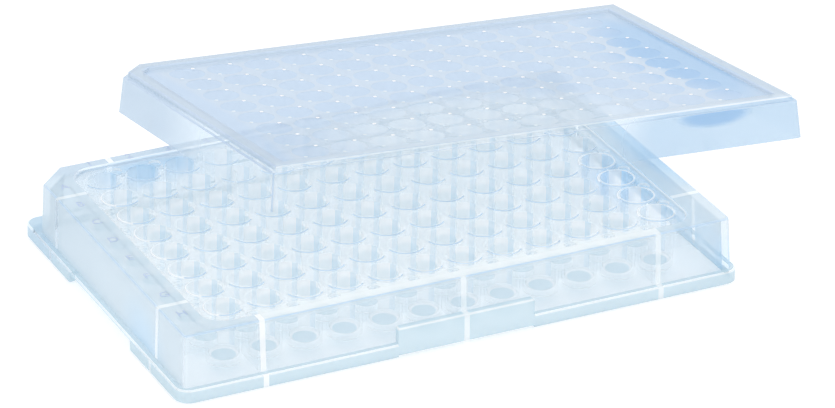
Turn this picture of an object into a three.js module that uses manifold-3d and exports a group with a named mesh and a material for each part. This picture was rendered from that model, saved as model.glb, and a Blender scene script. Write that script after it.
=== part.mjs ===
// A 96-well plate with its lid, two clear mouldings. Units are millimetres and +Z is up.
// The plate stands on its base flange, with row A at the back and column 1 on the left.
// The lid lies askew behind and beside it: its left skirt is over the plate's back edge, its
// underside leans on the plate's back right corner, and its own far corner is down on the table.
import * as THREE from "three";
import { mergeGeometries, mergeVertices } from "three/addons/utils/BufferGeometryUtils.js";
import Module from "manifold-3d";

const wasm = await Module();
wasm.setup();

// Well grid
const rows = 8;
const columns = 12;
const pitch = 9;
const wellGap = 0.7;
const rimWidth = 0.65;
const wellTaper = 0.4;
const boreTaper = 0.3;
const rimDrop = 0.2;
const wellFootHeight = 1.8;
const wellFloor = 1.2;
const wellSides = 10;

// Plate frame: base flange, outer wall, top border and the sunken ledge round the wells
const plateLength = 127.76;
const plateWidth = 85.48;
const plateHeight = 14.35;
const flangeHeight = 2.8;
const flangeCornerRadius = 3.2;
const flangeStep = 1.3;
const wallDraft = 0.6;
const wallThickness = 1.3;
const wallCornerRadius = 1;
const cornerCut = 6.2;
const borderThickness = 1.2;
const ledgeDrop = 0.9;
const ledgeThickness = 1.1;
const ledgeSideMargin = 1.35;
const ledgeFrontMargin = 2.25;
const ledgeCornerRadius = 5;
const ledgeGrip = 1.2;

// Ribs that tie the wells to each other, and webs that tie them to the outer wall
const ribThickness = 0.8;
const ribFootHeight = 3.6;
const ribTopDrop = 0.9;
const webThickness = 1.2;
const webFootHeight = 2.4;
const frontWebColumns = [1, 6, 11];
const sideWebRows = [1, 7];

// Grips: raised pads on the long sides, and lifted notches under the short sides
const padLength = 31;
const padHeight = 6.5;
const padLift = 0.4;
const notchLength = 33;
const notchHeight = 2.2;

// Lid, which closes over the plate's wall with a clearance
const lidClearance = 0.2;
const lidDepth = 7;
const lidPanelThickness = 1.4;
const lidCornerCut = 5;
const lidCornerRadius = 0.8;
const skirtThickness = 1.05;
const skirtDraft = 0.8;
const shoulderDrop = 0.2;
const beadHeight = 0.85;
const beadInset = 1.1;
const beadWidth = 3;
const spacerWidth = 1;
const spacerSlack = 0.05;
const spacerRoot = 0.3;
const spacerHeight = 6;
const frontSpacers = 40;
const sideSpacers = 22;

// Where the lid lies, from the plate's centre
const lidShiftX = 32.65;
const lidShiftY = 31;
const lidTurn = THREE.MathUtils.degToRad(0.9);
const backEdgeGap = 0.3;
const cornerGap = 0.6;
const tableGap = 1;

const cornerSteps = 4;
const leastRadius = 0.3;
const overcut = 1;

// How much a 45 degree corner cut shortens for each unit that its outline moves inwards
const cutChange = 2 - Math.SQRT2;

// Sizes that follow from those above
const wellMouthRadius = (pitch - wellGap) / 2;
const wellFootRadius = wellMouthRadius - wellTaper;
const boreMouthRadius = wellMouthRadius - rimWidth;
const boreFloorRadius = boreMouthRadius - boreTaper;
const rimHeight = plateHeight - rimDrop;
const boreFoot = wellFootHeight + wellFloor;
const ledgeHeight = plateHeight - ledgeDrop;
const ledgeFoot = ledgeHeight - ledgeThickness;
const ledgeHalfX = wellX(columns - 1) + wellMouthRadius + ledgeSideMargin;
const ledgeHalfY = wellY(0) + wellMouthRadius + ledgeFrontMargin;
const borderFoot = plateHeight - borderThickness;
const wallHalfX = plateLength / 2 - flangeStep;
const wallHalfY = plateWidth / 2 - flangeStep;
const lidPanelHeight = lidDepth + lidPanelThickness;
const shoulderHeight = lidPanelHeight - shoulderDrop;
const lidFootInset = wallDraft * (plateHeight - lidDepth) / plateHeight - lidClearance;
const lidCeilingInset = wallDraft - lidClearance;

function wellX(column) {
  return (column - (columns - 1) / 2) * pitch;
}

function wellY(row) {
  return ((rows - 1) / 2 - row) * pitch;
}

// A rectangular outline, anticlockwise, with rounded corners and a straight cut at the A1 corner.
function outline(halfX, halfY, radius, cut) {
  const centres = [[halfX, halfY], [-halfX, halfY], [-halfX, -halfY], [halfX, -halfY]];
  const points = [];
  centres.forEach(([x, y], corner) => {
    if (corner === 1 && cut > 0) {
      points.push(new THREE.Vector2(x + cut, y), new THREE.Vector2(x, y - cut));
      return;
    }
    const centreX = x - Math.sign(x) * radius;
    const centreY = y - Math.sign(y) * radius;
    for (let step = 0; step <= cornerSteps; step += 1) {
      const angle = (corner + step / cornerSteps) * Math.PI / 2;
      const outX = radius * Math.cos(angle);
      const outY = radius * Math.sin(angle);
      points.push(new THREE.Vector2(centreX + outX, centreY + outY));
    }
  });
  return points;
}

// The outer wall's outline, moved inwards by an inset all the way round.
function wallOutline(inset) {
  const radius = Math.max(wallCornerRadius - inset, leastRadius);
  return outline(wallHalfX - inset, wallHalfY - inset, radius, cornerCut - inset * cutChange);
}

// The lid's outline goes by the same wall, with a smaller cut at the corner.
function lidOutline(inset) {
  const radius = Math.max(lidCornerRadius - inset, leastRadius);
  return outline(wallHalfX - inset, wallHalfY - inset, radius, lidCornerCut - inset * cutChange);
}

function flangeOutline(inset) {
  return outline(plateLength / 2 - inset, plateWidth / 2 - inset, flangeCornerRadius - inset, 0);
}

function ledgeOutline(grow) {
  return outline(ledgeHalfX + grow, ledgeHalfY + grow, ledgeCornerRadius + grow, 0);
}

// A closed prism between two outlines with as many points, so that its sides can have draft.
function prism(low, lowZ, high, highZ) {
  const count = low.length;
  const cap = THREE.ShapeUtils.triangulateShape(low, []);
  const position = [];
  low.forEach((point) => position.push(point.x, point.y, lowZ));
  high.forEach((point) => position.push(point.x, point.y, highZ));
  const index = [];
  for (let i = 0; i < count; i += 1) {
    const next = (i + 1) % count;
    index.push(i, next, count + next, i, count + next, count + i);
  }
  cap.forEach(([a, b, c]) => index.push(c, b, a, count + a, count + b, count + c));
  const geometry = new THREE.BufferGeometry();
  geometry.setAttribute("position", new THREE.Float32BufferAttribute(position, 3));
  geometry.setIndex(index);
  return solid(geometry);
}

function solid(geometry) {
  geometry.deleteAttribute("normal");
  geometry.deleteAttribute("uv");
  const merged = mergeVertices(geometry);
  const mesh = new wasm.Mesh({
    numProp: 3,
    vertProperties: new Float32Array(merged.attributes.position.array),
    triVerts: new Uint32Array(merged.index.array),
  });
  return new wasm.Manifold(mesh);
}

// A block between two pairs of places, whichever of each pair is the lower.
function block([x0, x1], [y0, y1], [z0, z1]) {
  const geometry = new THREE.BoxGeometry(Math.abs(x1 - x0), Math.abs(y1 - y0), Math.abs(z1 - z0));
  return solid(geometry.translate((x0 + x1) / 2, (y0 + y1) / 2, (z0 + z1) / 2));
}

function union(solids) {
  return solids.reduce((whole, one) => whole.add(one));
}

function around(place, width) {
  return [place - width / 2, place + width / 2];
}

// Upright tapered cylinders on every well centre, with a flat facing each neighbour in the row.
function onEveryWell(footRadius, topRadius, footZ, topZ) {
  const copies = [];
  const height = topZ - footZ;
  for (let row = 0; row < rows; row += 1) {
    for (let column = 0; column < columns; column += 1) {
      const cone = new THREE.CylinderGeometry(topRadius, footRadius, height, wellSides);
      cone.rotateX(Math.PI / 2).rotateZ(Math.PI / wellSides);
      copies.push(cone.translate(wellX(column), wellY(row), footZ + height / 2));
    }
  }
  return solid(mergeGeometries(copies));
}

// The thin frame: a stepped and drafted shell, open below, with a flat border round a sunken ledge.
function frameShell() {
  const flange = prism(flangeOutline(0), 0, flangeOutline(0), flangeHeight);
  const wall = prism(wallOutline(0), 0, wallOutline(wallDraft), plateHeight);
  const flangeSpace = prism(
    flangeOutline(wallThickness), -overcut, flangeOutline(wallThickness), flangeHeight - borderThickness);
  const wallSpace = prism(
    wallOutline(wallThickness), 0, wallOutline(wallThickness + wallDraft), borderFoot);
  const riser = prism(ledgeOutline(wallThickness), ledgeFoot, ledgeOutline(wallThickness), plateHeight);
  const sunken = prism(ledgeOutline(0), ledgeHeight, ledgeOutline(0), plateHeight + overcut);
  const shell = flange.add(wall).subtract(flangeSpace).subtract(wallSpace);
  return shell.add(riser).subtract(sunken).subtract(wellField());
}

// The open middle of the ledge, whose edge runs through the outer side of the outermost wells.
function wellField() {
  const halfX = wellX(columns - 1) + wellMouthRadius - ledgeGrip;
  const halfY = wellY(0) + wellMouthRadius - ledgeGrip;
  return block([-halfX, halfX], [-halfY, halfY], [-overcut, plateHeight + overcut]);
}

// Bars along the rows join each well to the next; they stop short of the rims.
function rowRibs() {
  const bars = [];
  const ends = [wellX(0), wellX(columns - 1)];
  for (let row = 0; row < rows; row += 1) {
    bars.push(block(ends, around(wellY(row), ribThickness), [ribFootHeight, rimHeight - ribTopDrop]));
  }
  return union(bars);
}

// Upright webs run from the outer wall to the gap between two wells of the outermost row or column.
function frameWebs() {
  const webs = [];
  const levels = [webFootHeight, ledgeHeight - ledgeThickness / 2];
  const wallX = wallHalfX - wallDraft - wallThickness / 2;
  const wallY = wallHalfY - wallDraft - wallThickness / 2;
  for (const side of [-1, 1]) {
    for (const column of frontWebColumns) {
      const x = (wellX(column - 1) + wellX(column)) / 2;
      webs.push(block(around(x, webThickness), [side * wellY(0), side * wallY], levels));
    }
    for (const row of sideWebRows) {
      const y = (wellY(row - 1) + wellY(row)) / 2;
      webs.push(block([side * wellX(columns - 1), side * wallX], around(y, webThickness), levels));
    }
  }
  return union(webs);
}

function gripPads() {
  const inner = wallHalfY - wallThickness;
  return union([-1, 1].map((side) => block(
    around(0, padLength), [side * inner, side * plateWidth / 2], [flangeHeight / 2, padHeight])));
}

function gripNotches() {
  const reachX = plateLength + 2 * overcut;
  const reachY = plateWidth + 2 * overcut;
  const underSides = block(around(0, reachX), around(0, notchLength), [-overcut, notchHeight]);
  const underPads = block(around(0, padLength), around(0, reachY), [-overcut, padLift]);
  return underSides.add(underPads);
}

function plate() {
  const tubes = onEveryWell(wellFootRadius, wellMouthRadius, wellFootHeight, rimHeight);
  const slope = boreTaper / (rimHeight - boreFoot);
  const bores = onEveryWell(
    boreFloorRadius, boreMouthRadius + slope * overcut, boreFoot, rimHeight + overcut);
  const frame = frameShell().add(gripPads()).subtract(gripNotches());
  return frame.add(tubes).add(rowRibs()).add(frameWebs()).subtract(bores);
}

// Thin upright spacers inside the skirt centre the lid; they are thinner than its clearance.
function skirtSpacers() {
  const spacers = [];
  const depth = lidClearance - spacerSlack;
  for (const side of [-1, 1]) {
    const faceX = side * (wallHalfX - lidFootInset);
    const faceY = side * (wallHalfY - lidFootInset);
    const acrossX = [faceX - side * depth, faceX + side * spacerRoot];
    const acrossY = [faceY - side * depth, faceY + side * spacerRoot];
    for (const place of [-1, 1]) {
      const alongFront = around(place * frontSpacers, spacerWidth);
      const alongSide = around(place * sideSpacers, spacerWidth);
      spacers.push(block(alongFront, acrossY, [0, spacerHeight]));
      spacers.push(block(acrossX, alongSide, [0, spacerHeight]));
    }
  }
  return union(spacers);
}

// A shallow tray, upside down: a drafted skirt, a flat panel and a raised bead round the panel.
function lid() {
  const foot = lidFootInset - skirtThickness;
  const shoulder = foot + skirtDraft;
  const beadOuter = shoulder + beadInset;
  const beadInner = beadOuter + beadWidth;
  const shell = prism(lidOutline(foot), 0, lidOutline(shoulder), shoulderHeight);
  const bead = prism(lidOutline(beadOuter), lidDepth, lidOutline(beadOuter), lidPanelHeight + beadHeight);
  const dip = prism(
    lidOutline(beadInner), lidPanelHeight, lidOutline(beadInner), lidPanelHeight + beadHeight + overcut);
  const inside = prism(lidOutline(lidFootInset), 0, lidOutline(lidCeilingInset), lidDepth);
  const mouth = prism(lidOutline(lidFootInset), -overcut, lidOutline(lidFootInset), 0);
  return shell.add(bead).subtract(dip).add(skirtSpacers()).subtract(inside.add(mouth));
}

// The lid's base plane clears the plate's back edge at the left skirt and comes down to the table
// at the far corner. Its third support is the plate's right edge: there the lid's ceiling meets the
// back corner, or its front skirt meets the top, whichever stops the lid first.
function placeLid(mesh) {
  const plateBack = wallHalfY - wallDraft;
  const plateRight = wallHalfX - wallDraft;
  const lidHalfX = wallHalfX - lidFootInset + skirtThickness;
  const lidHalfY = wallHalfY - lidFootInset + skirtThickness;
  const lidLeft = lidShiftX - lidHalfX;
  const backEdgeHeight = plateHeight + backEdgeGap;
  const overPlate = plateRight - lidLeft;
  const overFront = plateBack - (lidShiftY - lidHalfY);
  const overBack = lidShiftY + lidHalfY - plateBack;
  const moreGap = cornerGap - backEdgeGap;
  const fall = backEdgeHeight - tableGap;
  const slopeByCeiling = (lidDepth - moreGap) / overPlate;
  const depthRatio = overBack / overFront;
  const slopeBySkirt = (fall - moreGap * depthRatio) / (2 * lidHalfX + overPlate * depthRatio);
  const slopeX = Math.min(slopeByCeiling, slopeBySkirt);
  const slopeY = (fall - slopeX * 2 * lidHalfX) / overBack;
  const up = new THREE.Vector3(slopeX, slopeY, 1).normalize();
  const tilt = new THREE.Quaternion().setFromUnitVectors(new THREE.Vector3(0, 0, 1), up);
  const turn = new THREE.Quaternion().setFromAxisAngle(new THREE.Vector3(0, 0, 1), lidTurn);
  mesh.quaternion.copy(tilt).multiply(turn);
  const centreHeight = backEdgeHeight - slopeX * lidHalfX - slopeY * (lidShiftY - plateBack);
  mesh.position.set(lidShiftX, lidShiftY, centreHeight);
}

function toMesh(name, body, material) {
  const { vertProperties, triVerts } = body.getMesh();
  const geometry = new THREE.BufferGeometry();
  geometry.setAttribute("position", new THREE.BufferAttribute(vertProperties, 3));
  geometry.setIndex(new THREE.BufferAttribute(triVerts, 1));
  geometry.computeVertexNormals();
  const mesh = new THREE.Mesh(geometry, material);
  mesh.name = name;
  return mesh;
}

const clearPolystyrene = new THREE.MeshStandardMaterial({
  color: 0xdcebf7,
  roughness: 0.08,
  metalness: 0,
  transparent: true,
  opacity: 0.4,
});

const plateMesh = toMesh("plate", plate(), clearPolystyrene);
const lidMesh = toMesh("lid", lid(), clearPolystyrene.clone());
placeLid(lidMesh);

const wellPlate = new THREE.Group();
wellPlate.add(plateMesh, lidMesh);

// The origin is at the middle of the footprint that plate and lid take up together, on the table.
const extent = new THREE.Box3().setFromObject(wellPlate, true);
const middle = extent.getCenter(new THREE.Vector3());
for (const mesh of wellPlate.children) {
  mesh.position.sub(new THREE.Vector3(middle.x, middle.y, extent.min.z));
}

export default wellPlate;
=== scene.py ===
"""A clear 96-well plate with its lid lying askew on it, both moulded in polystyrene."""

import math
from collections import namedtuple

import bmesh
import bpy
from mathutils import Matrix, Vector


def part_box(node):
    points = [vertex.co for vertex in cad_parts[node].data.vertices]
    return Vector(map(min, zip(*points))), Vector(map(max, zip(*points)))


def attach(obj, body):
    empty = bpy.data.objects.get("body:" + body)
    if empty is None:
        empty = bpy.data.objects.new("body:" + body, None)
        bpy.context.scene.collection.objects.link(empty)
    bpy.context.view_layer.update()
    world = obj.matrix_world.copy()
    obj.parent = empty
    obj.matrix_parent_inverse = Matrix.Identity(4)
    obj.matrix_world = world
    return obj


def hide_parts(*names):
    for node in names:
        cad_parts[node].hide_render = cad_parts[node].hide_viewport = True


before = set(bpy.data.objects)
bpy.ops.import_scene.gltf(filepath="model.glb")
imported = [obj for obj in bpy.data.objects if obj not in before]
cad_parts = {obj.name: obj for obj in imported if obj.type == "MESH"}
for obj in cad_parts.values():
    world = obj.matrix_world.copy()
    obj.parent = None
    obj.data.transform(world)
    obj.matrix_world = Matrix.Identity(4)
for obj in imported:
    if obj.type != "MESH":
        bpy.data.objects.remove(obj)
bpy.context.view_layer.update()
mm = 0.001

# ---- Camera ----------------------------------------------------------------------------------
# A long lens looks down on the plate from its front left, from a little over a metre away.
camera_place = Vector((-0.42353, -0.88157, 0.49253))
camera_turn = (math.radians(63.347), math.radians(-0.244), math.radians(-25.546))
bpy.ops.object.camera_add(location=camera_place, rotation=camera_turn)
camera = bpy.context.object
camera.data.sensor_width = 36
camera.data.lens = 218.94
camera.data.clip_end = 20
bpy.context.scene.camera = camera

# ---- Studio: floor, world and lamps ----------------------------------------------------------
# A white table runs on into a white surround, so that only the plastic and its soft shadow show.
scene = bpy.context.scene
scene.view_settings.view_transform = "Standard"
scene.cycles.max_bounces = 40
scene.cycles.transmission_bounces = 40
scene.cycles.glossy_bounces = 8
scene.cycles.transparent_max_bounces = 64


class Wire:
    """A socket that carries a number; sums and products of wires add Math nodes."""

    def __init__(self, maker, socket):
        self.maker = maker
        self.socket = socket

    def math(self, operation, *others):
        return self.maker.add("ShaderNodeMath", {"operation": operation}, [self, *others])

    def __add__(self, other):
        return self.math("ADD", other)

    def __sub__(self, other):
        return self.math("SUBTRACT", other)

    def __rsub__(self, other):
        return self.maker.add("ShaderNodeMath", {"operation": "SUBTRACT"}, [other, self])

    def __mul__(self, other):
        return self.math("MULTIPLY", other)

    __radd__ = __add__
    __rmul__ = __mul__


class NodeMaker:
    """Adds nodes to one material's or world's tree."""

    def __init__(self, owner):
        owner.use_nodes = True
        self.tree = owner.node_tree
        self.tree.nodes.clear()

    def add(self, kind, settings=(), inputs=(), output=0):
        node = self.tree.nodes.new(kind)
        for name, value in dict(settings).items():
            setattr(node, name, value)
        pairs = inputs.items() if isinstance(inputs, dict) else enumerate(inputs)
        for key, value in pairs:
            if isinstance(value, Wire):
                self.tree.links.new(value.socket, node.inputs[key])
            else:
                node.inputs[key].default_value = value
        return Wire(self, node.outputs[output]) if node.outputs else None


def blend(make, factor, first, second, way="MIX"):
    """Mixes two colours, each of them a wire or three numbers."""
    first, second = (
        colour if isinstance(colour, Wire) else (*colour, 1) for colour in (first, second))
    # a Mix node takes its factor and two colours at 0, 6 and 7, and gives the mixed colour at 2
    return make.add(
        "ShaderNodeMix", {"data_type": "RGBA", "blend_type": way},
        {0: factor, 6: first, 7: second}, output=2)


def seen_rays(make):
    """1 for rays from the camera or from a glossy or clear surface, 0 for light that is scattered."""
    kinds = ("Is Camera Ray", "Is Glossy Ray", "Is Transmission Ray")
    rays = [make.add("ShaderNodeLightPath", output=kind) for kind in kinds]
    return (rays[0] + rays[1] + rays[2]).math("MINIMUM", 1)


fill_strength = 0.92
world = bpy.data.worlds.new("white surround")
scene.world = world
make = NodeMaker(world)
strength = fill_strength + seen_rays(make) * (1 - fill_strength)
surround = make.add("ShaderNodeBackground", inputs={"Color": (1, 1, 1, 1), "Strength": strength})
make.add("ShaderNodeOutputWorld", inputs=[surround])

table_size = 8
table_drop = 0.2 * mm
table_grey = (0.9, 0.9, 0.9)
table_glow = 0.2
near_blue = (0.96, 0.985, 1.0)
far_blue = (0.76, 0.86, 0.95)
near_blue_y = -60 * mm
far_blue_y = 50 * mm
bpy.ops.object.select_all(action="DESELECT")
bpy.ops.mesh.primitive_plane_add(size=table_size, location=(0, 0, -table_drop))
floor = bpy.context.object
floor.name = "table_top"
table_white = bpy.data.materials.new("white table")
make = NodeMaker(table_white)
# painted refraction: seen through the plastic, the table is painted in the pale blue of the room
# behind it, bluer towards the back
through = make.add("ShaderNodeLightPath", output="Transparent Depth").math("MINIMUM", 1)
through = through * make.add("ShaderNodeLightPath", output="Is Camera Ray")
point = make.add("ShaderNodeTexCoord", output="Object")
depth = make.add("ShaderNodeSeparateXYZ", inputs=[point], output="Y")
far = make.add(
    "ShaderNodeMapRange",
    inputs={"Value": depth, "From Min": near_blue_y, "From Max": far_blue_y})
painted_room_blue = blend(make, far, near_blue, far_blue)
seen = blend(make, through, (1, 1, 1), painted_room_blue)
shade = blend(make, 1.0, seen, table_grey, "MULTIPLY")
white = make.add("ShaderNodeBsdfDiffuse", inputs={"Color": shade})
lift = make.add(
    "ShaderNodeEmission", inputs={"Color": seen, "Strength": seen_rays(make) * table_glow})
both = make.add("ShaderNodeAddShader", inputs=[white, lift])
make.add("ShaderNodeOutputMaterial", inputs=[both])
floor.data.materials.append(table_white)


def add_softbox(name, place, size, watts):
    """A soft lamp that points at the plate and isn't mirrored in it."""
    bpy.ops.object.light_add(type="AREA", location=place)
    lamp = bpy.context.object
    lamp.name = name
    lamp.data.shape = "RECTANGLE"
    lamp.data.size, lamp.data.size_y = size
    lamp.data.energy = watts
    lamp.visible_glossy = False
    lamp.rotation_euler = (Vector() - Vector(place)).to_track_quat("-Z", "Y").to_euler()


add_softbox("top_softbox", place=(-0.05, 0.35, 0.95), size=(0.22, 0.22), watts=0.8)
add_softbox("left_softbox", place=(-0.6, -0.9, 0.4), size=(0.4, 0.5), watts=2.2)
add_softbox("right_softbox", place=(0.9, -0.5, 0.7), size=(0.3, 0.5), watts=0.6)

# ---- Plate: frame ----------------------------------------------------------------------------
# The frame is a thin stepped shell, open below: a base flange, an upright wall with one corner cut
# off at well A1, a flat border and a ledge sunk round the wells. It comes out of one mould, in
# clear polystyrene.
plate_low, plate_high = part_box("plate")
plate_length = plate_high.x - plate_low.x
plate_width = plate_high.y - plate_low.y
plate_height = plate_high.z
plate_place = Matrix.Translation((
    (plate_low.x + plate_high.x) / 2, (plate_low.y + plate_high.y) / 2, 0))
flange_height = 2.8 * mm
flange_corner = 3.2 * mm
flange_step = 1.3 * mm
wall_draft = 0.6 * mm
wall = 1.3 * mm
wall_corner = 1 * mm
corner_cut = 6.2 * mm
cut_change = 2 - math.sqrt(2)
border_thickness = 1.2 * mm
edge_round = 0.35 * mm
pad_length = 31 * mm
pad_height = 6.5 * mm
pad_lift = 0.4 * mm
notch_length = 33 * mm
notch_height = 2.2 * mm
overcut = 1 * mm
# places a hair apart count as the same, and slack allows for a rounded edge
hair = 0.01 * mm
slack = 0.1 * mm
wall_half_x = plate_length / 2 - flange_step
wall_half_y = plate_width / 2 - flange_step

# a painted reflection in a finish: a soft spot of colour that stands for light reflected and
# refracted in the plastic, with its middle and half sizes in millimetres, the part of it that is
# solid, its colour, and what it adds to the sheen's share
PaintedLightSpot = namedtuple("PaintedLightSpot", "middle reach core tint more")
flow_shade = 0.95
shard_level = 0.4
polish = 0.06
unevenness = 0.04
bending = 1.59


def painted_light_mask(make, point, light_spot):
    """The mask of a painted light spot: 1 at the middle of an egg-shaped spot, out to its core, and 0
    beyond its half sizes.
    """
    offset = make.add(
        "ShaderNodeVectorMath", {"operation": "SUBTRACT"}, [point, Vector(light_spot.middle) * mm])
    scaled = make.add(
        "ShaderNodeVectorMath", {"operation": "DIVIDE"}, [offset, Vector(light_spot.reach) * mm])
    away = make.add("ShaderNodeVectorMath", {"operation": "LENGTH"}, [scaled], output="Value")
    return make.add(
        "ShaderNodeMapRange", {"interpolation_type": "SMOOTHSTEP"},
        {"Value": away, "From Min": 1.0, "From Max": light_spot.core, "To Min": 0.0, "To Max": 1.0})


def polystyrene(name, veil, base, lean, place=Matrix(), light_spots=(), inner=0, broken_refraction=None):
    """Clear moulded plastic: see-through face on, and covered by a pale sheen as it is seen aslant.

    The sheen has the veil's colour. Its share is the base, and grows by the lean at the edge of view;
    inside the plastic only the inner part of it shows. Painted reflections tint it and add to its
    share in soft spots, and noise breaks it in the spot of a painted refraction.
    """
    material = bpy.data.materials.new(name)
    make = NodeMaker(material)
    world_point = make.add("ShaderNodeTexCoord", output="Object")
    flow = make.add(
        "ShaderNodeTexNoise", inputs={"Vector": world_point, "Scale": 60.0, "Detail": 2.0})
    skin = make.add(
        "ShaderNodeTexNoise", inputs={"Vector": world_point, "Scale": 900.0, "Detail": 1.0})
    colour = blend(make, flow, [flow_shade * part for part in veil], veil)
    facing = make.add("ShaderNodeLayerWeight", inputs={"Blend": 0.5}, output="Facing")
    share = base + facing * facing * lean
    if light_spots:
        back = place.inverted()
        own_point = make.add(
            "ShaderNodeMapping", inputs={
                "Vector": world_point, "Location": back.to_translation(),
                "Rotation": back.to_euler()})
        for light_spot in light_spots:
            spot = painted_light_mask(make, own_point, light_spot)
            colour = blend(make, spot, colour, light_spot.tint)
            share = share + spot * light_spot.more
        if broken_refraction:
            spot = painted_light_mask(make, own_point, broken_refraction)
            shards = make.add(
                "ShaderNodeTexNoise", inputs={"Vector": own_point, "Scale": 300.0, "Detail": 2.0})
            share = share + spot * (shards - shard_level) * broken_refraction.more
    # the sheen lies on the side that is looked at, so a wall shows it once and not twice
    behind = make.add("ShaderNodeNewGeometry", output="Backfacing")
    share = share.math("MINIMUM", 1) * (1 - behind * (1 - inner))
    bump = make.add(
        "ShaderNodeBump", inputs={"Strength": 0.04, "Distance": 0.2 * mm, "Height": skin})
    plastic = make.add("ShaderNodeBsdfPrincipled", inputs={
        "Base Color": colour, "Roughness": polish + flow * unevenness, "IOR": bending,
        "Normal": bump})
    open_way = make.add("ShaderNodeBsdfTransparent", inputs={"Color": (1, 1, 1, 1)})
    mix = make.add("ShaderNodeMixShader", inputs=[share, open_way, plastic])
    shadow = make.add("ShaderNodeLightPath", output="Is Shadow Ray")
    lamp_way = make.add("ShaderNodeBsdfTransparent", inputs={"Color": (0.985, 0.99, 0.995, 1)})
    outcome = make.add("ShaderNodeMixShader", inputs=[shadow, mix, lamp_way])
    make.add("ShaderNodeOutputMaterial", inputs=[outcome])
    return material


CLEAR, DEEP, HIGHLIGHT, CUP, SHADED_LINE, LETTER, PALE_HIGHLIGHT, SHEER, GLOW, SHADE = range(10)
# painted reflections of the room on the plate: its right wall and front right corner, the back wells
# of the first columns, the cups of the last column, the left back flange corner, the back border and
# the left wall
right_wall_reflection = PaintedLightSpot((62, -2, 10), (6, 30, 16), core=0.3, tint=(0.32, 0.60, 0.86), more=0.09)
back_wells_reflection = PaintedLightSpot((-38, 35, 13), (18, 6, 7), core=0.3, tint=(0.40, 0.64, 0.88), more=0.32)
end_cups_reflection = PaintedLightSpot((50, -10, 12), (6, 18, 7), core=0.4, tint=(0.44, 0.68, 0.93), more=0.18)
flange_corner_reflection = PaintedLightSpot((-62, 38, 1), (8, 20, 5), core=0.4, tint=(0.46, 0.65, 0.80), more=0.1)
right_corner_reflection = PaintedLightSpot((62, -32, 5), (6, 22, 9), core=0.4, tint=(0.38, 0.64, 0.88), more=-0.04)
back_border_reflection = PaintedLightSpot((-42, 40, 14), (40, 5, 4), core=0.5, tint=(0.46, 0.60, 0.74), more=0.12)
left_wall_reflection = PaintedLightSpot((-62, -20, 4), (5, 14, 11), core=0.1, tint=(0.46, 0.68, 0.88), more=0.05)
shell_reflections = [right_wall_reflection, right_corner_reflection, back_border_reflection, left_wall_reflection]
flange_reflections = [right_wall_reflection, flange_corner_reflection]
cup_reflections = [back_wells_reflection, end_cups_reflection]
# the bright and pale finishes are painted highlights, the glowing well strips painted light, and the
# fine shaded edges and shaded well strips painted shade
# each finish: its name, veil, base and lean, and for some the place of the piece and its painted
# reflections
finishes = [
    polystyrene("clear plate plastic", (0.55, 0.69, 0.80), 0.30, 0.95, plate_place, shell_reflections),
    polystyrene("thick plate plastic", (0.50, 0.69, 0.80), 0.58, 0.35, plate_place, flange_reflections),
    polystyrene("painted highlight on moulded edges", (0.97, 0.985, 1.0), 0.65, 0.3),
    polystyrene("well walls", (0.89, 0.96, 1.0), 0.17, -0.08, plate_place, cup_reflections),
    polystyrene("painted shade on fine edges", (0.50, 0.67, 0.85), 0.7, 0.3),
    polystyrene("raised letters", (0.40, 0.50, 0.72), 0.8, 0.2),
    polystyrene("pale painted highlights", (0.87, 0.94, 0.97), 0.45, 0.4),
    polystyrene("sheer webs", (0.85, 0.93, 1.0), 0.08, 0.25),
    polystyrene("painted light strips in wells", (1.0, 1.0, 1.0), 0.31, 0.0, plate_place, [back_wells_reflection]),
    polystyrene("shaded well strips", (0.57, 0.75, 0.91), 0.35, 0.0, plate_place, cup_reflections),
]


def take_finishes(piece, finish=CLEAR):
    for material in finishes:
        piece.data.materials.append(material)
    for face in piece.data.polygons:
        face.material_index = finish


def refinish(piece, test, finish):
    """Gives a finish to the faces that pass the test."""
    for face in piece.data.polygons:
        if test(face):
            face.material_index = finish


def refinish_front(piece, was, becomes):
    refinish(piece, lambda face: face.material_index == was and face.normal.y < -0.3, becomes)


def select_parts(kind, test):
    """In edit mode, select the edges or faces whose middle passes the test."""
    bpy.ops.mesh.select_mode(type=kind)
    bpy.ops.mesh.select_all(action="DESELECT")
    mesh = bpy.context.object.data
    shape = bmesh.from_edit_mesh(mesh)
    for part in shape.edges if kind == "EDGE" else shape.faces:
        middle = sum((corner.co for corner in part.verts), Vector()) / len(part.verts)
        if test(part, middle):
            part.select_set(True)
    shape.select_flush_mode()
    bmesh.update_edit_mesh(mesh)


def is_upright(edge, middle):
    rise = edge.verts[1].co - edge.verts[0].co
    return abs(rise.z) > 0.9 * rise.length


def faces_up(face, middle=None):
    return face.normal.z > 0.9


def faces_down(face, middle=None):
    return face.normal.z < -0.9


def round_rim(test, rounding, segments, finish):
    """In edit mode, rounds the outline of the faces that pass the test."""
    select_parts("FACE", test)
    bpy.ops.mesh.region_to_loop()
    bpy.ops.mesh.bevel(offset=rounding, segments=segments, affect="EDGES", material=finish)


def add_block(name, half_x, half_y, low, high, middle=(0, 0), finish=CLEAR):
    """A plain block between two heights, with its origin at the plate's own middle."""
    bpy.ops.object.select_all(action="DESELECT")
    bpy.ops.mesh.primitive_cube_add(
        size=2, location=(*middle, (low + high) / 2), scale=(half_x, half_y, (high - low) / 2))
    bpy.ops.object.transform_apply(location=True, rotation=True, scale=True)
    block = bpy.context.object
    block.name = name
    take_finishes(block, finish)
    return block


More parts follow.
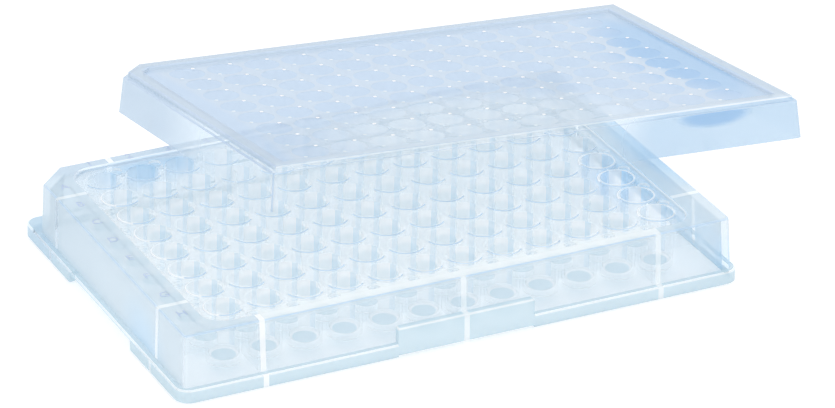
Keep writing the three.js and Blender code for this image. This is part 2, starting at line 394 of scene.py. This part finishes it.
def add_tray_form(
        name, half_x, half_y, low, high, corner, cut=0, draft=0, rounding=0, flare=0,
        finish=CLEAR, edge=HIGHLIGHT):
    """A block with round upright corners, and if asked a cut A1 corner, draft and a soft top edge."""
    form = add_block(name, half_x, half_y, low, high, finish=finish)
    bpy.ops.object.mode_set(mode="EDIT")
    if cut:
        select_parts("EDGE", lambda edge, at: is_upright(edge, at) and at.x < 0 < at.y)
        bpy.ops.mesh.bevel(offset=cut, segments=1, affect="EDGES")
    reach = half_x + half_y - hair
    select_parts("EDGE", lambda edge, at: is_upright(edge, at) and abs(at.x) + abs(at.y) > reach)
    bpy.ops.mesh.bevel(offset=corner, segments=6, affect="EDGES")
    if draft:
        select_parts("FACE", faces_up)
        taper = ((half_x - draft) / half_x, (half_y - draft) / half_y, 1)
        bpy.ops.transform.resize(value=taper, center_override=(0, 0, high))
    if rounding:
        round_rim(faces_up, rounding, segments=3, finish=edge)
    if flare:
        # the walls open out in a quarter round of three steps
        select_parts("FACE", faces_up)
        step = math.pi / 6
        for count in (1, 2, 3):
            turned = count * step
            out = flare * (1 - math.cos(turned)) - flare * (1 - math.cos(turned - step))
            up = flare * (math.sin(turned) - math.sin(turned - step))
            bpy.ops.mesh.extrude_region_move(TRANSFORM_OT_translate={"value": (0, 0, up)})
            spread = ((half_x + out) / half_x, (half_y + out) / half_y, 1)
            bpy.ops.transform.resize(value=spread, center_override=(0, 0, high))
        bpy.ops.mesh.extrude_region_move(TRANSFORM_OT_translate={"value": (0, 0, overcut)})
    bpy.ops.object.mode_set(mode="OBJECT")
    if flare:
        refinish(form, lambda face: face.center.z > high + hair and not faces_up(face), edge)
    return form


def combine(whole, tool, operation):
    """Joins the tool to the whole or cuts it away, and removes it."""
    bpy.ops.object.select_all(action="DESELECT")
    bpy.context.view_layer.objects.active = whole
    whole.select_set(True)
    change = whole.modifiers.new(operation, "BOOLEAN")
    change.solver = "MANIFOLD"
    change.operation = operation
    change.object = tool
    bpy.ops.object.modifier_apply(modifier=change.name)
    bpy.data.objects.remove(tool)


plate = add_tray_form(
    "clear_plate", plate_length / 2, plate_width / 2, 0, flange_height, flange_corner,
    rounding=edge_round, finish=DEEP, edge=CUP)
# the flange's rounded top edge is painted with a pale highlight along the front
refinish_front(plate, CUP, PALE_HIGHLIGHT)
# the wall's rounded top edge is painted as a shaded line
body = add_tray_form(
    "body", wall_half_x, wall_half_y, 0, plate_height, wall_corner,
    cut=corner_cut, draft=wall_draft, rounding=edge_round, edge=SHADED_LINE)
combine(plate, body, "UNION")
pad_outer = plate_width / 2
pad_inner = wall_half_y - wall
for side in (-1, 1):
    pad = add_block(
        "pad", pad_length / 2, (pad_outer - pad_inner) / 2, flange_height / 2, pad_height,
        middle=(0, side * (pad_outer + pad_inner) / 2), finish=DEEP)
    bpy.ops.object.mode_set(mode="EDIT")
    # the pad's rounded top edge takes a pale painted highlight
    round_rim(faces_up, edge_round, segments=3, finish=PALE_HIGHLIGHT)
    bpy.ops.object.mode_set(mode="OBJECT")
    combine(plate, pad, "UNION")
flange_space = add_tray_form(
    "flange_space", plate_length / 2 - wall, plate_width / 2 - wall, -overcut,
    flange_height - border_thickness, flange_corner - wall, finish=DEEP)
combine(plate, flange_space, "DIFFERENCE")
wall_space = add_tray_form(
    "wall_space", wall_half_x - wall, wall_half_y - wall, -overcut, plate_height - border_thickness,
    wall_corner / 2, cut=corner_cut - wall * cut_change, draft=wall_draft)
combine(plate, wall_space, "DIFFERENCE")
notch = add_block("notch", plate_length, notch_length / 2, -overcut, notch_height, finish=DEEP)
combine(plate, notch, "DIFFERENCE")
pad_gap = add_block("pad_gap", pad_length / 2, plate_width, -overcut, pad_lift, finish=DEEP)
combine(plate, pad_gap, "DIFFERENCE")

# ---- Plate: ledge and wells ------------------------------------------------------------------
# Inside the border the plate steps down to a ledge. The wells are upright cups on a nine-millimetre
# grid, moulded with the ledge; ribs tie each to the next and webs tie the outer ones to the wall.
rows = 8
columns = 12
pitch = 9 * mm
well_gap = 0.7 * mm
rim_width = 0.65 * mm
well_taper = 0.4 * mm
bore_taper = 0.3 * mm
rim_drop = 0.2 * mm
well_foot = 1.8 * mm
well_floor = 1.2 * mm
well_sides = 32
rim_round = 0.22 * mm
lit_rim = 1.2 * mm
ledge_drop = 0.9 * mm
ledge_thickness = 1.1 * mm
ledge_side_margin = 1.35 * mm
ledge_front_margin = 2.25 * mm
ledge_corner = 5 * mm
ledge_grip = 1.2 * mm
pocket_radius = 1.3 * mm
pocket_depth = 0.6 * mm
front_pocket_shift = 0.3 * mm
side_pocket_shift = 0.1 * mm
pocket_sides = 16
rib_thickness = 0.8 * mm
rib_foot = 3.6 * mm
rib_drop = 0.9 * mm
web_thickness = 1.2 * mm
web_foot = 2.4 * mm
front_web_columns = (1, 6, 11)
side_web_rows = (1, 7)
strip_inset = 1 * mm
strip_share = 0.45
mouth_radius = (pitch - well_gap) / 2
bore_radius = mouth_radius - rim_width
rim_height = plate_height - rim_drop
ledge_height = plate_height - ledge_drop


def well_x(column):
    return (column - (columns - 1) / 2) * pitch


def well_y(row):
    return ((rows - 1) / 2 - row) * pitch


last_x = well_x(columns - 1)
first_y = well_y(0)
ledge_half_x = last_x + mouth_radius + ledge_side_margin
ledge_half_y = first_y + mouth_radius + ledge_front_margin
riser = add_tray_form(
    "riser", ledge_half_x + wall, ledge_half_y + wall, ledge_height - ledge_thickness,
    plate_height - edge_round, ledge_corner + wall)
combine(plate, riser, "UNION")
# the ledge's rounded inner edge takes a pale painted highlight on one side only
sunken = add_tray_form(
    "sunken", ledge_half_x, ledge_half_y, ledge_height, plate_height - edge_round, ledge_corner,
    flare=edge_round, edge=PALE_HIGHLIGHT)
refinish(sunken, lambda face: face.material_index == PALE_HIGHLIGHT and face.normal.x < 0.3, CUP)
refinish(sunken, faces_down, CUP)
combine(plate, sunken, "DIFFERENCE")
well_field = add_block(
    "well_field", last_x + mouth_radius - ledge_grip, first_y + mouth_radius - ledge_grip, -overcut,
    plate_height + overcut)
combine(plate, well_field, "DIFFERENCE")


def repeat(piece, count, step):
    """Copies the piece along a line and applies the copies."""
    line = piece.modifiers.new("line", "ARRAY")
    line.count = count
    line.use_relative_offset = False
    line.use_constant_offset = True
    line.constant_offset_displace = step
    bpy.context.view_layer.objects.active = piece
    bpy.ops.object.modifier_apply(modifier=line.name)


def repeat_on_grid(piece):
    """Copies the piece of well A1 to every well."""
    repeat(piece, columns, (pitch, 0, 0))
    repeat(piece, rows, (0, -pitch, 0))


def add_cone(
        name, foot_radius, top_radius, low, high, foot_round=0, top_round=0, sides=well_sides,
        middle=None, finish=CUP, cap=DEEP):
    """An upright tapered cylinder, on well A1 unless told, with rounded ends where asked, which take
    a painted highlight.
    """
    middle = middle or (well_x(0), first_y)
    bpy.ops.object.select_all(action="DESELECT")
    bpy.ops.mesh.primitive_cylinder_add(
        vertices=sides, radius=foot_radius, depth=high - low, location=(*middle, (low + high) / 2))
    bpy.ops.object.transform_apply(location=True, rotation=False, scale=False)
    cone = bpy.context.object
    cone.name = name
    take_finishes(cone, finish)
    refinish(cone, faces_down, cap)
    bpy.ops.object.mode_set(mode="EDIT")
    select_parts("FACE", faces_up)
    widen = top_radius / foot_radius
    bpy.ops.transform.resize(value=(widen, widen, 1), center_override=(*middle, high))
    if top_round:
        round_rim(faces_up, top_round, segments=2, finish=HIGHLIGHT)
    if foot_round:
        round_rim(faces_down, foot_round, segments=2, finish=HIGHLIGHT)
    bpy.ops.object.mode_set(mode="OBJECT")
    return cone


def shade_round(cone, middle_angle, half_angle, was, becomes):
    """Changes the finish of the faces of one kind that look towards an angle round well A1, to paint
    light and shade on that side of the wells.
    """
    for face in cone.data.polygons:
        out = face.center - Vector((well_x(0), first_y, 0))
        away = (math.degrees(math.atan2(out.y, out.x)) - middle_angle + 180) % 360 - 180
        above_floor = face.center.z > well_foot + well_floor
        if abs(away) < half_angle and face.material_index == was and above_floor:
            face.material_index = becomes


tubes = add_cone(
    "tubes", mouth_radius - well_taper, mouth_radius, well_foot, rim_height,
    foot_round=rim_round * 2, top_round=rim_round)
# painted shade on the front of each rounded rim, the rest of the rim plain; the rounded foot keeps
# its painted highlight
shade_round(tubes, middle_angle=-105, half_angle=62, was=HIGHLIGHT, becomes=SHADED_LINE)
shade_round(tubes, middle_angle=75, half_angle=120, was=HIGHLIGHT, becomes=CUP)
repeat_on_grid(tubes)


def paint_rim_highlight(column, row, towards):
    """Paints a highlight on the part of a well's rounded rim that lies towards a side."""
    middle = Vector((well_x(column), well_y(row)))

    def is_lit(face):
        out = face.center.to_2d() - middle
        on_rim = face.center.z > rim_height - rim_round and face.normal.z < 0.99
        return on_rim and out.length < mouth_radius + slack and out.dot(towards) > lit_rim

    refinish(tubes, is_lit, HIGHLIGHT)


# painted highlights: the outer wells' rims are painted bright where they catch the light, the first
# column's on the left, the last one's at the back
for row in range(1, rows):
    paint_rim_highlight(0, row, towards=Vector((-0.94, 0.34)))
for row in range(4, rows):
    paint_rim_highlight(columns - 1, row, towards=Vector((-0.34, 0.94)))
# and the flat tops of the last column's front rims take a pale painted highlight
refinish(
    tubes, lambda face: face.normal.z > 0.99 and face.center.x > well_x(columns - 1.5)
    and face.center.y < well_y(3.5), PALE_HIGHLIGHT)
combine(plate, tubes, "UNION")

row_ribs = add_block(
    "row_ribs", last_x, rib_thickness / 2, rib_foot, rim_height - rib_drop, middle=(0, first_y),
    finish=SHEER)
repeat(row_ribs, rows, (0, -pitch, 0))
combine(plate, row_ribs, "UNION")
web_top = ledge_height - ledge_thickness / 2
web_wall_x = wall_half_x - wall_draft - wall / 2
web_wall_y = wall_half_y - wall_draft - wall / 2
front_lines = [well_x(column - 0.5) for column in front_web_columns]
side_lines = [well_y(row - 0.5) for row in side_web_rows]
for side in (-1, 1):
    for line in front_lines:
        web = add_block(
            "web", web_thickness / 2, (web_wall_y - first_y) / 2, web_foot, web_top,
            middle=(line, side * (web_wall_y + first_y) / 2), finish=SHEER)
        combine(plate, web, "UNION")
    for line in side_lines:
        web = add_block(
            "web", (web_wall_x - last_x) / 2, web_thickness / 2, web_foot, web_top,
            middle=(side * (web_wall_x + last_x) / 2, line), finish=SHEER)
        combine(plate, web, "UNION")


def cut_pockets(name, middle, count, step):
    """Sinks a row of small round pockets into the ledge, their sides painted with a pale highlight.
    """
    pockets = add_cone(
        name, pocket_radius, pocket_radius, ledge_height - pocket_depth, plate_height,
        sides=pocket_sides, middle=middle, finish=PALE_HIGHLIGHT, cap=CUP)
    repeat(pockets, count, step)
    combine(plate, pockets, "DIFFERENCE")


for side in (-1, 1):
    front_y = side * (first_y + mouth_radius + front_pocket_shift)
    side_x = side * (last_x + mouth_radius - side_pocket_shift)
    cut_pockets("front_pockets", (well_x(0.5), front_y), columns - 1, (pitch, 0, 0))
    cut_pockets("side_pockets", (side_x, well_y(0.5)), rows - 1, (0, -pitch, 0))

bores = add_cone(
    "bores", bore_radius - bore_taper, bore_radius + rim_round / 2, well_foot + well_floor,
    rim_height + overcut, foot_round=rim_round * 3)
# painted light and shade inside each bore, for light refracted by the well walls: a light strip on
# its far wall and a shaded strip to the right of it; the rounded floor edge keeps its painted
# highlight
shade_round(bores, middle_angle=68, half_angle=20, was=CUP, becomes=GLOW)
shade_round(bores, middle_angle=34, half_angle=14, was=CUP, becomes=SHADE)
repeat_on_grid(bores)
combine(plate, bores, "DIFFERENCE")


def cut_across(axis, place):
    """In edit mode, cuts the selected faces across an axis."""
    middle = [0, 0, 0]
    middle[axis] = place
    across = [0, 0, 0]
    across[axis] = 1
    bpy.ops.mesh.bisect(plane_co=middle, plane_no=across)


# where a web meets the outer wall the wall is solid, and the faces there are cut into strips that
# carry a painted highlight seen from outside
bpy.ops.object.select_all(action="DESELECT")
bpy.context.view_layer.objects.active = plate
plate.select_set(True)
bpy.ops.object.mode_set(mode="EDIT")
for axis, step_out, lines in (
        (0, wall_half_y - wall, front_lines), (1, wall_half_x - wall, side_lines)):
    for line in lines:
        for edge in (-web_thickness / 2, web_thickness / 2):
            select_parts(
                "FACE", lambda face, at: abs(at[1 - axis]) > step_out or at.z > plate_height - hair)
            cut_across(axis, line + edge)
strip_y = -first_y - mouth_radius + strip_inset
for axis, line in ((1, strip_y), (0, well_x(0.5)), (0, well_x(columns - 1.5))):
    select_parts("FACE", lambda face, at: abs(at.z - ledge_height) < hair)
    cut_across(axis, line)
bpy.ops.object.mode_set(mode="OBJECT")


def shows_web(face, axis, lines, reach):
    """True on the outer wall and the border, where a web stands behind them."""
    near = min(abs(face.center[axis] - line) for line in lines)
    out = abs(face.center[1 - axis])
    on_top = face.center.z > plate_height - hair and out > reach - slack
    return near < web_thickness * strip_share and (on_top or out > reach + wall)


# painted highlights: the front strip of the ledge and the strips of the webs are painted pale, and
# one web brighter; the side webs' strips keep it only along the top
refinish(
    plate, lambda face: face.center.z > ledge_height - hair and faces_up(face)
    and face.center.y < strip_y and front_lines[0] < face.center.x < front_lines[-1], PALE_HIGHLIGHT)
refinish(plate, lambda face: shows_web(face, 0, front_lines[1:], ledge_half_y), PALE_HIGHLIGHT)
refinish(plate, lambda face: shows_web(face, 0, front_lines[:1], ledge_half_y), HIGHLIGHT)
refinish(plate, lambda face: shows_web(face, 1, side_lines, ledge_half_x), PALE_HIGHLIGHT)
refinish(
    plate, lambda face: shows_web(face, 1, side_lines, ledge_half_x)
    and face.center.z < plate_height - edge_round, CUP)

# ---- Plate: letters and numbers --------------------------------------------------------------
# The rows are lettered on the left border and the columns numbered on the back one. The signs are
# low and raised, and come out of the mould with the border.
letter_size = 3.1 * mm
letter_rise = 0.12 * mm
letter_x = (-wall_half_x + wall_draft - ledge_half_x) / 2
number_y = (wall_half_y - wall_draft + ledge_half_y) / 2
weld = 0.001 * mm
smooth_angle = math.radians(32)
marks = [(chr(ord("A") + row), letter_x, well_y(row)) for row in range(rows)]
marks += [(str(column + 1), well_x(column), number_y) for column in range(columns)]
bpy.ops.object.select_all(action="DESELECT")
signs = []
for sign, x, y in marks:
    bpy.ops.object.text_add(location=(x, y, plate_height - letter_rise / 4))
    text = bpy.context.object
    text.data.body = sign
    text.data.size = letter_size
    text.data.align_x = "CENTER"
    text.data.align_y = "CENTER"
    text.data.extrude = letter_rise / 2
    text.data.resolution_u = 4
    signs.append(text)
for text in signs:
    text.select_set(True)
bpy.ops.object.convert(target="MESH")
bpy.ops.object.join()
letters = bpy.context.object
letters.name = "row_letters_and_column_numbers"
bpy.ops.object.transform_apply(location=True, rotation=True, scale=True)
bpy.ops.object.mode_set(mode="EDIT")
bpy.ops.mesh.select_all(action="SELECT")
bpy.ops.mesh.remove_doubles(threshold=weld)
bpy.ops.object.mode_set(mode="OBJECT")
take_finishes(letters, LETTER)
combine(plate, letters, "UNION")


def place_and_smooth(piece, place):
    """Moves the mesh to its place in the frame and shades its curves smooth."""
    piece.data.transform(place)
    bpy.ops.object.select_all(action="DESELECT")
    piece.select_set(True)
    bpy.context.view_layer.objects.active = piece
    bpy.ops.object.shade_smooth_by_angle(angle=smooth_angle)
    weigh = piece.modifiers.new("flat_faces_first", "WEIGHTED_NORMAL")
    weigh.keep_sharp = True
    bpy.ops.object.modifier_apply(modifier=weigh.name)


place_and_smooth(plate, plate_place)
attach(plate, "root")
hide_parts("plate")

# ---- Lid -------------------------------------------------------------------------------------
# A shallow tray, upside down, in clear polystyrene: a drafted skirt, a flat panel and a raised
# bead round the panel. Raised rings under the panel face the wells. It lies askew on the plate,
# as it was put down.
lid_depth = 7 * mm
panel_thickness = 1.4 * mm
lid_corner_cut = 5 * mm
lid_corner = 0.8 * mm
least_corner = 0.3 * mm
lid_clearance = 0.2 * mm
skirt_thickness = 1.05 * mm
skirt_draft = 0.8 * mm
shoulder_drop = 0.2 * mm
bead_height = 0.85 * mm
bead_inset = 1.1 * mm
bead_width = 3 * mm
ring_radius = 3.9 * mm
ring_width = 1 * mm
ring_rise = 0.12 * mm
disc_radius = 3.95 * mm
disc_depth = 0.03 * mm
glint_radius = 0.42 * mm
spacer_width = 1 * mm
spacer_depth = 0.15 * mm
spacer_root = 0.3 * mm
spacer_height = 6 * mm
front_spacers = 40 * mm
side_spacers = 22 * mm
painted_glints = ((50, 4.3 * mm, PALE_HIGHLIGHT), (230, 3.9 * mm, HIGHLIGHT))
panel_height = lid_depth + panel_thickness
mouth_inset = wall_draft * (plate_height - lid_depth) / plate_height - lid_clearance
ceiling_inset = wall_draft - lid_clearance
crease_angle = math.radians(20)

# the way the real lid lies is read from the CAD lid: its broad face and its longest crease
cad_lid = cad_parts["lid"]
shape = bmesh.new()
shape.from_mesh(cad_lid.data)
bmesh.ops.remove_doubles(shape, verts=shape.verts, dist=weld)
up = max(shape.faces, key=lambda face: face.calc_area()).normal.copy()
up = up if up.z > 0 else -up
creases = [edge for edge in shape.edges if edge.calc_face_angle(0) > crease_angle]
crease = max(creases, key=lambda edge: edge.calc_length())
along = crease.verts[1].co - crease.verts[0].co
along = (along if along.x > 0 else -along).normalized()
turn = Matrix((along, up.cross(along), up)).transposed()
corners = [turn.transposed() @ corner.co for corner in shape.verts]
lowest = [min(corner[axis] for corner in corners) for axis in range(3)]
highest = [max(corner[axis] for corner in corners) for axis in range(3)]
shape.free()
base = Vector(((lowest[0] + highest[0]) / 2, (lowest[1] + highest[1]) / 2, lowest[2]))
lid_place = Matrix.Translation(turn @ base) @ turn.to_4x4()

SKIRT, DISC, RING, PANEL = CLEAR, DEEP, CUP, LETTER
BEAD = GLOW
# painted reflections of the room on the lid: its far end and the discs there, its left margin, front
# bead, its left skirt, the right part of its front skirt and a half-round patch on it; and painted
# refraction of the wells seen through the lid, which makes the net and discs over them paler and
# breaks the net with noise
lid_end_reflection = PaintedLightSpot((54, -1, 8), (9, 47, 9), core=0.5, tint=(0.27, 0.50, 0.79), more=0.15)
end_disc_reflection = PaintedLightSpot((54, -3, 8), (16, 43, 9), core=0.35, tint=(0.22, 0.46, 0.78), more=0.2)
lid_margin_reflection = PaintedLightSpot((-62, 0, 8), (10, 62, 9), core=0.7, tint=(0.38, 0.54, 0.77), more=0.0)
bead_reflection = PaintedLightSpot((0, -42, 9), (90, 6, 4), core=0.6, tint=(0.56, 0.68, 0.80), more=-0.14)
skirt_patch_reflection = PaintedLightSpot((41.5, -44, 8.4), (17, 3, 5.2), core=0.86, tint=(0.29, 0.50, 0.77), more=0.37)
end_skirt_reflection = PaintedLightSpot((55, -42, 4), (46, 6, 20), core=0.6, tint=(0.33, 0.54, 0.76), more=0.47)
net_wells_refraction = PaintedLightSpot((-9, -32, 8), (46, 30, 9), core=0.45, tint=(0.47, 0.60, 0.73), more=-0.12)
broken_wells_refraction = PaintedLightSpot((-9, -32, 8), (46, 28, 9), core=0.5, tint=None, more=1.5)
disc_wells_refraction = PaintedLightSpot((-9, -32, 8), (46, 30, 9), core=0.45, tint=(0.59, 0.71, 0.83), more=-0.08)
left_skirt_reflection = PaintedLightSpot((-63, 45, 5), (14, 62, 20), core=0.45, tint=(0.46, 0.60, 0.76), more=0.52)
skirt_reflections = [left_skirt_reflection, end_skirt_reflection, skirt_patch_reflection]
disc_light_spots = [disc_wells_refraction, end_disc_reflection]
panel_light_spots = [lid_margin_reflection, net_wells_refraction, lid_end_reflection]
# on the lid too, the bright edges and points are painted highlights and glints, and the fine edges
# painted shade
finishes = [
    polystyrene("clear lid skirt", (0.74, 0.86, 0.96), 0.08, 0.4, lid_place, skirt_reflections),
    polystyrene("lid discs", (0.37, 0.535, 0.77), 0.5, 0.42, lid_place, disc_light_spots),
    polystyrene("painted highlight on lid edges", (0.78, 0.86, 0.91), 0.55, 0.3, inner=1),
    polystyrene("lid rings", (0.60, 0.72, 0.86), 0.15, 0.2),
    polystyrene("painted shade on lid edges", (0.44, 0.57, 0.76), 0.6, 0.4),
    polystyrene("lid panel", (0.45, 0.58, 0.75), 0.5, 0.42, lid_place, panel_light_spots,
        broken_refraction=broken_wells_refraction),
    polystyrene("painted lid glints", (1, 1, 1), 0.95, 0.1),
    polystyrene("sheer lid faces", (0.60, 0.72, 0.88), 0.1, 0.2),
    polystyrene("lid bead", (0.42, 0.55, 0.70), 0.6, 0.4, lid_place, [bead_reflection]),
]


def add_lid_form(name, inset, low, high, **options):
    """A tray form that stands in from the plate's wall, with its corners to match."""
    return add_tray_form(
        name, wall_half_x - inset, wall_half_y - inset, low, high,
        max(lid_corner - inset, least_corner), cut=lid_corner_cut - inset * cut_change, **options)


foot = mouth_inset - skirt_thickness
bead_outer = foot + skirt_draft + bead_inset
# the rounded edges of the skirt, bead and dip are painted as shaded lines
lid = add_lid_form(
    "clear_lid", foot, 0, panel_height - shoulder_drop, draft=skirt_draft, rounding=edge_round,
    edge=SHADED_LINE)
bead = add_lid_form(
    "bead", bead_outer, lid_depth, panel_height + bead_height, rounding=edge_round, edge=SHADED_LINE,
    finish=BEAD)
# the lid's front edges lose that painted shade, and the bead's front edge takes a painted highlight
# instead
refinish_front(lid, SHADED_LINE, SKIRT)
# one narrow face up the front left corner is painted as a shaded line
refinish(lid, lambda face: face.normal.y < -0.5 and face.normal.x < -0.7, SHADED_LINE)
refinish_front(bead, SHADED_LINE, HIGHLIGHT)
refinish_front(bead, BEAD, SKIRT)
combine(lid, bead, "UNION")
dip = add_lid_form(
    "dip", bead_outer + bead_width, panel_height, panel_height + bead_height - edge_round,
    flare=edge_round, edge=SHADED_LINE, finish=BEAD)
refinish(dip, faces_down, PANEL)
combine(lid, dip, "DIFFERENCE")
inside = add_lid_form(
    "inside", mouth_inset, -overcut, lid_depth, draft=ceiling_inset - mouth_inset, finish=SHEER)
combine(lid, inside, "DIFFERENCE")

bpy.ops.object.select_all(action="DESELECT")
bpy.ops.mesh.primitive_torus_add(
    location=(well_x(0), first_y, lid_depth), major_radius=ring_radius,
    minor_radius=ring_width / 2, major_segments=32, minor_segments=10)
rings = bpy.context.object
rings.scale.z = 2 * ring_rise / ring_width
bpy.ops.object.transform_apply(location=True, rotation=True, scale=True)
rings.name = "rings"
take_finishes(rings, RING)
repeat_on_grid(rings)
combine(lid, rings, "UNION")

# the rings show through the panel as pale blue discs, each with two painted glints on its edge: small
# raised points in highlight finishes, a brighter one at the back right and a fainter one at the front
# left
discs = add_cone(
    "discs", disc_radius, disc_radius, panel_height - disc_depth, panel_height + disc_depth,
    finish=PANEL, cap=DISC)
repeat_on_grid(discs)
combine(lid, discs, "DIFFERENCE")
for angle, away, finish in painted_glints:
    point_x = well_x(0) + away * math.cos(math.radians(angle))
    point_y = first_y + away * math.sin(math.radians(angle))
    points = add_cone(
        "points", glint_radius, glint_radius, panel_height - disc_depth * 2,
        panel_height + disc_depth, sides=10, middle=(point_x, point_y), finish=finish, cap=finish)
    repeat_on_grid(points)
    combine(lid, points, "UNION")

# the small spacer ribs inside the skirt are painted with a highlight
spacer_half = (spacer_root + spacer_depth) / 2
spacer_shift = (spacer_root - spacer_depth) / 2
for side in (-1, 1):
    for end in (-1, 1):
        front_middle = (end * front_spacers, side * (wall_half_y - mouth_inset + spacer_shift))
        side_middle = (side * (wall_half_x - mouth_inset + spacer_shift), end * side_spacers)
        for half_x, half_y, middle in (
                (spacer_width / 2, spacer_half, front_middle),
                (spacer_half, spacer_width / 2, side_middle)):
            spacer = add_block("spacer", half_x, half_y, 0, spacer_height, middle, HIGHLIGHT)
            combine(lid, spacer, "UNION")
place_and_smooth(lid, lid_place)
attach(lid, "root")
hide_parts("lid")
